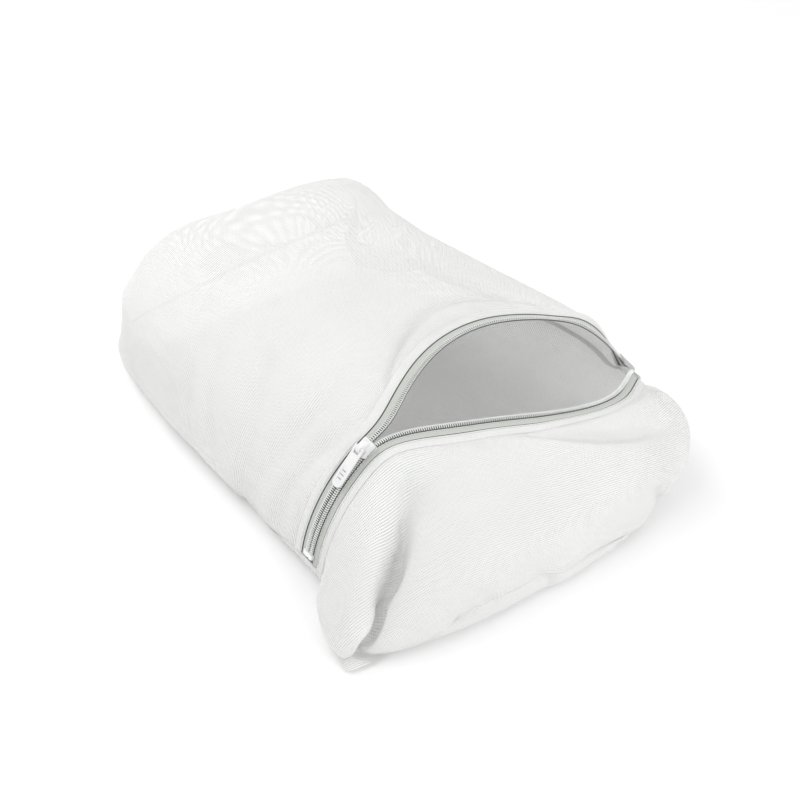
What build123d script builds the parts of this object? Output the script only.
"""Mesh laundry bag: a flat two-panel bag of ribbed polyester mesh, 40 by 50 cm, lying plump on a table,
with a coil zip across its upper side that is open for most of its length.

Row frame: +X across the bag, along the zip towards its closing end; +Y along the bag, from the zip end to
the far end; +Z up. The origin is the centre of the bounding box on the table. Millimetres.
"""

import os
from collections import namedtuple
from math import cos, degrees, pi, radians, sin

from build123d import *

# ---------------------------------------------------------------- driving dimensions
PANEL = 1.0  # thickness of a mesh panel and of the zip tape
HEM_TOP = 1.8  # the panel's folded edge lies on the tape: heights are measured from the inside face
COIL_TOP = 3.4
STITCH_TOP = 2.2
TAPE_INNER, TAPE_OUTER = 0.6, 15.0  # distances from the middle of the chain
COIL_INNER, COIL_OUTER = 0.8, 3.0
HEM_INNER, HEM_OUTER = 10.5, 18.0
STITCH_INNER, STITCH_OUTER = 11.6, 12.4
SEAM_ALLOWANCE = 7.0  # the overlocked edges of both panels, inside the bag
SEAM_THICKNESS = 1.6
CORNER_LENGTH = 32.0  # how much of each side the end seams take in

SEAM_HEIGHT, SEAM_SLOPE = 36.0, 0.11  # plane of the side seams: height at x = 0, and rise along +X

# The closed stretch of the chain is an arc in the plane y = ZIP_Y, over the left shoulder of the bag.
ZIP_Y = -105.0
ARC_X, ARC_Z, ARC_R = -16.0, -1.0, 131.0  # radius of the tape's inside face
ARC_LOW = 170.0  # degrees, where the chain meets the side seam
ARC_HIGH = 121.5  # where the lips part, just ahead of the slider
BAND_HALF = 22.0  # half the width of the stiff band of fabric that carries the closed chain

# Cross-sections of the filled bag: both ends, lowest and highest point, the crest's place, and how square
# each shoulder is. A left squareness of 0 follows the chain's arc and then slopes to the crest.
Station = namedtuple("Station", "y left right base top crest n_left n_right")
STATIONS = [
    Station(-221, -72, 124, 12, 54, 24, 2.0, 2.0),
    Station(-217, -104, 140, 7, 68, 16, 2.0, 2.0),
    Station(-207, -142, 158, 3, 80, 8, 2.0, 2.0),
    Station(-194, -176, 168, 0, 89, 0, 1.8, 1.9),
    Station(-172, -174, 174, 0, 98, -10, 1.8, 1.8),
    Station(-146, -166, 175, 0, 102, -20, 1.9, 1.5),
    Station(-127, -145, 174, 0, 105, -12, 0, 1.6),
    Station(-83, -145, 170, 0, 122, 20, 0, 2.8),
    Station(-58, -147, 165, 0, 123, 10, 2.0, 2.6),
    Station(20, -144, 151, 0, 124, 0, 2.3, 2.4),
    Station(100, -145, 134, 0, 124, -5, 2.4, 2.4),
    Station(155, -141, 127, 0, 124, -8, 3.1, 2.6),
    Station(186, -136, 129, 0, 123, -8, 4.0, 3.0),
    Station(204, -128, 131, 2, 122, 0, 5.0, 3.6),
    Station(215, -121, 131, 10, 116, 5, 4.6, 3.4),
    Station(221, -110, 127, 22, 108, 10, 4.0, 3.0),
]
QUARTER = 8  # points in a quarter of a cross-section
ARC_POINTS = 5  # of them, those on the chain's arc
BOTTOM_SQUARENESS = 2.6
SINK = 2.0  # how far the sections run below the table before they are cut flat

# The open stretch in plan: each lip from the slider's nose to the right side seam.
LIP_START = (-84.5, ZIP_Y)
LIP_END = (177, -111)
REAR_LIP = [(-40, -85), (60, -58)]
FRONT_LIP = [(-45, -113), (40, -140), (110, -149)]
FAR = 260.0

# Bar tacks: across the chain at the left side seam, and over both coils at the right one.
LEFT_TACK = (166.6, 168.2)  # degrees on the chain's arc
LEFT_TACK_HALF = 5.4
RIGHT_TACK = (170.0, 171.2)  # along x
RIGHT_TACK_SIDES = (-120.0, -102.0)  # along y

# Slider, in its own frame: t along the chain towards the closing end, y across, r outwards from the tape.
SLIDER_AT = 124.8  # degrees, middle of the slider
SLIDER_HALF_LENGTH = 6.8
SLIDER_HALF = 5.6
GAP = 0.35
PLATE = 1.3
BLADE_HALF = 0.3
BLADE_LENGTH = 5.0
PLATE_TOP = COIL_TOP + GAP + PLATE
CAP_HALF = 2.3
CAP_PROFILE = [(-6.2, 4.4), (-5.9, 7.6), (-3.6, 9.7), (-0.6, 10.0), (2.6, 9.2), (5.4, 6.8), (6.2, 4.4)]
CAP_ROUNDING = 0.9
PIVOT_T, PIVOT_R = -2.6, 7.9
PIN_RADIUS = 0.95
PIN_PLAY = 0.3
TAB_LENGTH, TAB_HALF, TAB_THICKNESS = 34.5, 4.8, 1.5
TAB_DROOP = 14.0  # degrees below the chain's tangent, with its tip just over the chain
TAB_ARM_END = 1.5
WINDOW_LENGTH, WINDOW_HALF = 5.0, 2.75
TAB_TIP_RADIUS = 4.2
GRIP_AT, GRIP_LENGTH, GRIP_HALF, GRIP_DEPTH = -24.0, 15.0, 2.9, 0.35


# ---------------------------------------------------------------- the filled bag
def seam_z(x):
    """Height of the seam plane at x."""
    return SEAM_HEIGHT + SEAM_SLOPE * x


def arc_point(angle, out, y=ZIP_Y):
    """A point on the chain's arc, out millimetres outside the tape's inside face."""
    a = radians(angle)
    return Vector(ARC_X + (ARC_R + out) * cos(a), y, ARC_Z + (ARC_R + out) * sin(a))


def along_zip(s, out, k):
    """Point k of the upper left quarter where it carries the chain: the crest is point 0."""
    step = QUARTER - k
    if step <= ARC_POINTS:
        p = arc_point(ARC_LOW + (ARC_HIGH - ARC_LOW) * step / ARC_POINTS, out - 0.3)
        return p.X, p.Z
    start = arc_point(ARC_HIGH, out - 0.3)
    share = (step - ARC_POINTS) / (QUARTER - ARC_POINTS)
    return start.X + (s.crest - start.X) * share, start.Z + (s.top + out - start.Z) * sin(share * pi / 2)


def section_points(s, out):
    """The corners of station s's cross-section, grown by out, starting at the right end."""
    points = []
    for k in range(4 * QUARTER):
        a = pi / 2 * k / QUARTER
        on_right = k <= QUARTER or k > 3 * QUARTER
        upper = k <= 2 * QUARTER
        if upper and k > QUARTER and s.n_left == 0:
            x, z = along_zip(s, out, k - QUARTER)
            points.append((x, s.y, z))
            continue
        edge = s.right + out if on_right else s.left - out
        squareness = (s.n_right if on_right else s.n_left or 2.0) if upper else BOTTOM_SQUARENESS
        c, q = abs(cos(a)), abs(sin(a))
        reach = (c**squareness + q**squareness) ** (-1 / squareness)
        height = s.top - s.base
        middle = min(max(seam_z(edge), s.base + 0.15 * height), s.top - 0.3 * height)
        end = s.top + out if upper else s.base - SINK - out
        points.append((s.crest + (edge - s.crest) * c * reach, s.y, middle + (end - middle) * q * reach))
    return points


def arc_sector(low, high, half_width, start, end, y=ZIP_Y):
    """A slice of the disc round the arc's centre, from one radius to another and one angle to another."""
    disc = Cylinder(ARC_R + high, 2 * half_width, rotation=(90, 0, 0))
    if low > -ARC_R:
        disc -= Cylinder(ARC_R + low, 3 * half_width, rotation=(90, 0, 0))
    reach = 2 * ARC_R
    middle = radians((start + end) / 2)
    corners = [radians(start), radians(end)]
    outline = [(0, 0), (reach * cos(corners[0]), reach * sin(corners[0]))]
    outline += [(reach * cos(middle), reach * sin(middle))]
    outline += [(reach * cos(corners[1]), reach * sin(corners[1]))]
    wedge = extrude(Plane.XZ * make_face(Polyline(*outline, close=True)), half_width, both=True)
    return Pos(ARC_X, y, ARC_Z) * (disc & wedge)


def hull(out):
    """The filled bag, grown by out: 0 is the inside face of the mesh. It is cut flat where it stands."""
    length = STATIONS[-1].y
    stretch = (length + out) / length
    faces = [make_face(Polyline(*section_points(s._replace(y=s.y * stretch), out), close=True)) for s in STATIONS]
    solid = loft(faces, ruled=True)
    ease = degrees(out / ARC_R)
    solid += arc_sector(-60, out, BAND_HALF + out, ARC_LOW + ease, ARC_HIGH - ease)
    floor = PANEL - min(out, PANEL)
    return solid & Pos(0, 0, floor + FAR) * Box(4 * FAR, 4 * FAR, 2 * FAR)


def lip_path(lip):
    """The open stretch of a lip in plan, from where the lips part to the right end of the chain."""
    return Spline(LIP_START, *lip, LIP_END, tangents=[(1, 0), Vector(*LIP_END) - Vector(*lip[-1])])


def offset_points(lip, side, distance):
    """Points of the lip's path moved sideways: side is +1 towards the far end of the bag, -1 away from it."""
    curve = lip_path(lip)
    points = [Vector(-FAR, ZIP_Y + side * distance)]
    count = 26
    for i in range(count + 1):
        tangent = curve % (i / count)
        points.append(curve @ (i / count) + Vector(-tangent.Y, tangent.X) * side * distance)
    last = curve % 1
    points.append(points[-1] + last * 60)
    return points


def column(outline):
    """An upright prism through the whole bag over a plan outline."""
    return extrude(make_face(Polyline(*outline, close=True)), 2 * FAR)


def strip(lip, side, near, far):
    """The upright prism between two distances from the middle of the chain."""
    return column(offset_points(lip, side, near) + offset_points(lip, side, far)[::-1])


def beyond(lip, side, distance):
    """The upright prism of everything further from the chain than distance."""
    inner = offset_points(lip, side, distance)
    return column(inner + [Vector(inner[-1].X, side * FAR), Vector(-FAR, side * FAR)])


seam_plane = Plane(origin=(0, 0, SEAM_HEIGHT), z_dir=Vector(-SEAM_SLOPE, 0, 1))
above_seam = seam_plane * Pos(0, 0, FAR) * Box(4 * FAR, 4 * FAR, 2 * FAR)

levels = sorted({-SEAM_ALLOWANCE, 0, PANEL, HEM_TOP, STITCH_TOP, COIL_TOP})
hulls = {level: hull(level) for level in levels}
upper = {level: hulls[level] & above_seam for level in levels[1:]}


def layer(region, low, high):
    """The part of the upper side between two heights, over a plan region."""
    return (upper[high] & region) - upper[low]


parts = {}
parts["bottom_panel"] = hulls[PANEL] - hulls[0] - above_seam
sides = {"rear": (REAR_LIP, 1), "front": (FRONT_LIP, -1)}
for name, (lip, side) in sides.items():
    parts[f"top_panel_{name}"] = layer(beyond(lip, side, TAPE_OUTER), 0, PANEL)
    parts[f"tape_{name}"] = layer(strip(lip, side, TAPE_INNER, TAPE_OUTER), 0, PANEL)
    parts[f"coil_{name}"] = layer(strip(lip, side, COIL_INNER, COIL_OUTER), PANEL, COIL_TOP)
    parts[f"hem_{name}"] = layer(strip(lip, side, HEM_INNER, HEM_OUTER), PANEL, HEM_TOP)
    parts[f"topstitch_{name}"] = layer(strip(lip, side, STITCH_INNER, STITCH_OUTER), HEM_TOP, STITCH_TOP)


# ---------------------------------------------------------------- seams and bar tacks
seam_slab = seam_plane * Box(4 * FAR, 4 * FAR, SEAM_THICKNESS)
seam_ring = (hulls[0] & seam_slab) - hulls[-SEAM_ALLOWANCE]
end = STATIONS[-1].y - CORNER_LENGTH
middle_part = Box(4 * FAR, 2 * end, 4 * FAR)
end_parts = seam_ring - middle_part
side_parts = seam_ring & middle_part
parts["seam_rear_end"] = end_parts & Pos(0, FAR, 0) * Box(4 * FAR, 2 * FAR, 4 * FAR)
parts["seam_front_end"] = end_parts & Pos(0, -FAR, 0) * Box(4 * FAR, 2 * FAR, 4 * FAR)
parts["seam_right"] = side_parts & Pos(FAR, 0, 0) * Box(2 * FAR, 4 * FAR, 4 * FAR)
parts["seam_left"] = side_parts & Pos(-FAR, 0, 0) * Box(2 * FAR, 4 * FAR, 4 * FAR)

left_tack = arc_sector(PANEL, COIL_TOP, LEFT_TACK_HALF, *LEFT_TACK)
near, far = RIGHT_TACK_SIDES
right_region = column([(RIGHT_TACK[0], near), (RIGHT_TACK[1], near), (RIGHT_TACK[1], far), (RIGHT_TACK[0], far)])
right_tack = layer(right_region, PANEL, COIL_TOP) - beyond(REAR_LIP, 1, HEM_INNER) - beyond(FRONT_LIP, -1, HEM_INNER)
for name in sides:
    between_tacks = parts[f"coil_{name}"] - left_tack - right_tack
    parts[f"coil_{name}"] = between_tacks.solids().sort_by(SortBy.VOLUME)[-1]
parts["bar_tack_left"] = left_tack
parts["bar_tack_right"] = right_tack

# ---------------------------------------------------------------- slider and pull
slider_frame = Pos(ARC_X, ZIP_Y, ARC_Z) * Rot(0, 90 - SLIDER_AT, 0) * Pos(0, 0, ARC_R)
degrees_per_mm = degrees(1 / (ARC_R + COIL_TOP))
rear = SLIDER_AT + SLIDER_HALF_LENGTH * degrees_per_mm
nose = SLIDER_AT - SLIDER_HALF_LENGTH * degrees_per_mm
throat = nose + BLADE_LENGTH * degrees_per_mm

top_plate = arc_sector(COIL_TOP + GAP, PLATE_TOP, SLIDER_HALF, rear, nose)
bottom_plate = arc_sector(-GAP - PLATE, -GAP, SLIDER_HALF, rear, nose)
blade = arc_sector(-GAP, COIL_TOP + GAP, BLADE_HALF, throat, nose)
flanges = arc_sector(PANEL + GAP, COIL_TOP + GAP, SLIDER_HALF, rear, nose)
flanges -= arc_sector(0, 2 * COIL_TOP, COIL_OUTER + GAP, rear + 1, nose - 1)
slider_body = top_plate + bottom_plate + blade + flanges
corners = slider_body.edges().filter_by(lambda e: abs(abs(e.center().Y - ZIP_Y) - SLIDER_HALF) < 0.01)
corners = corners.filter_by(lambda e: e.length < 6 and abs((e % 0.5).Y) < 0.01)
upright = [e for e in corners if abs((e % 0.5).dot(Vector(cos(radians(rear)), 0, sin(radians(rear))))) > 0.98]
parts["slider_body"] = fillet(upright, 1.6)

outline = Spline(*CAP_PROFILE)
profile = make_face([outline, Line(outline @ 1, outline @ 0)])
cap = extrude(Plane.XZ * profile, CAP_HALF, both=True)
cap = fillet([e for e in cap.edges() if e.length > 15 and abs(abs(e.center().Y) - CAP_HALF) < 0.01], CAP_ROUNDING)
cap -= Pos(PIVOT_T, 0, PIVOT_R) * Cylinder(PIN_RADIUS + PIN_PLAY, 4 * CAP_HALF, rotation=(90, 0, 0))
parts["slider_cap"] = (slider_frame * cap) - arc_sector(-20, PLATE_TOP, 3 * SLIDER_HALF, rear + 5, nose - 5)

tab_face = Pos((TAB_ARM_END - TAB_LENGTH) / 2, 0) * Rectangle(TAB_LENGTH + TAB_ARM_END, 2 * TAB_HALF)
tab = extrude(tab_face, TAB_THICKNESS / 2, both=True)
tab -= Pos((2 * TAB_ARM_END - WINDOW_LENGTH) / 2, 0, 0) * Box(WINDOW_LENGTH + 2 * TAB_ARM_END, 2 * WINDOW_HALF, 9)
tab = fillet(tab.edges().filter_by(Axis.Z).group_by(Axis.X)[0], TAB_TIP_RADIUS)
tab += Cylinder(PIN_RADIUS, 2 * TAB_HALF - 1, rotation=(90, 0, 0))
tab -= Pos(GRIP_AT, 0, TAB_THICKNESS / 2) * extrude(SlotOverall(GRIP_LENGTH, 2 * GRIP_HALF), GRIP_DEPTH, both=True)
parts["pull_tab"] = slider_frame * Pos(PIVOT_T, 0, PIVOT_R) * Rot(0, -TAB_DROOP, 0) * tab

pivot = (slider_frame * Pos(PIVOT_T, 0, PIVOT_R)).position
print("tab pivot", pivot)

os.makedirs("parts", exist_ok=True)
for name, solid in parts.items():
    print(name, len(solid.solids()), solid.is_valid, round(solid.volume, 1))
    export_step(solid, f"parts/{name}.step")
